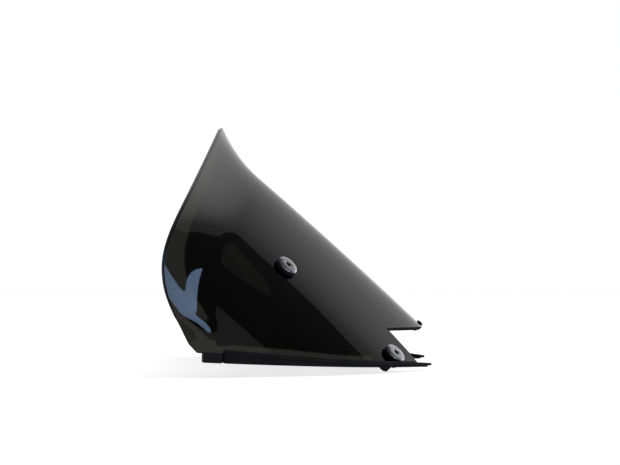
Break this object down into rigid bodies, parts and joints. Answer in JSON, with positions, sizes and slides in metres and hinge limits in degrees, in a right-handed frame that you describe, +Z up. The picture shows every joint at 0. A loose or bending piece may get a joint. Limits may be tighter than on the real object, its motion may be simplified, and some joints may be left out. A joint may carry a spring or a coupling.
{
  "type": "motorcycle windshield screen",
  "caption": "Dark smoke flared screen for a touring motorcycle fairing, with its screws, well nuts and rubber base seals.",
  "frame": {"origin": "under the centre of the bounding box, level with the ends of the lower well nuts", "axes": "+X forward along the motorcycle, +Y to the rider's left, +Z up, with the screen at the rake it has on the motorcycle"},
  "size_m": [0.2556, 0.4706, 0.2385],
  "materials": {
    "smoke_acrylic": "dark smoke tinted clear sheet, polished",
    "black_rubber": "matt moulded",
    "black_nylon": "satin moulded",
    "bright_steel": "bright plated",
    "brass": "machined"
  },
  "bodies": {
    "root": {"screen": "smoke_acrylic", "screw_upper_left": "bright_steel", "cup_washer_upper_left": "black_nylon", "rubber_washer_upper_left": "black_rubber", "well_nut_upper_left": "black_rubber", "thread_insert_upper_left": "brass", "screw_lower_left": "bright_steel", "cup_washer_lower_left": "black_nylon", "rubber_washer_lower_left": "black_rubber", "well_nut_lower_left": "black_rubber", "thread_insert_lower_left": "brass", "screw_upper_right": "bright_steel", "cup_washer_upper_right": "black_nylon", "rubber_washer_upper_right": "black_rubber", "well_nut_upper_right": "black_rubber", "thread_insert_upper_right": "brass", "screw_lower_right": "bright_steel", "cup_washer_lower_right": "black_nylon", "rubber_washer_lower_right": "black_rubber", "well_nut_lower_right": "black_rubber", "thread_insert_lower_right": "brass", "trim_strip_left": "black_rubber", "base_gasket_left": "black_rubber", "rear_block_left": "black_rubber", "trim_strip_right": "black_rubber", "base_gasket_right": "black_rubber", "rear_block_right": "black_rubber", "tab_bumper": "black_rubber"}
  },
  "joints": []
}
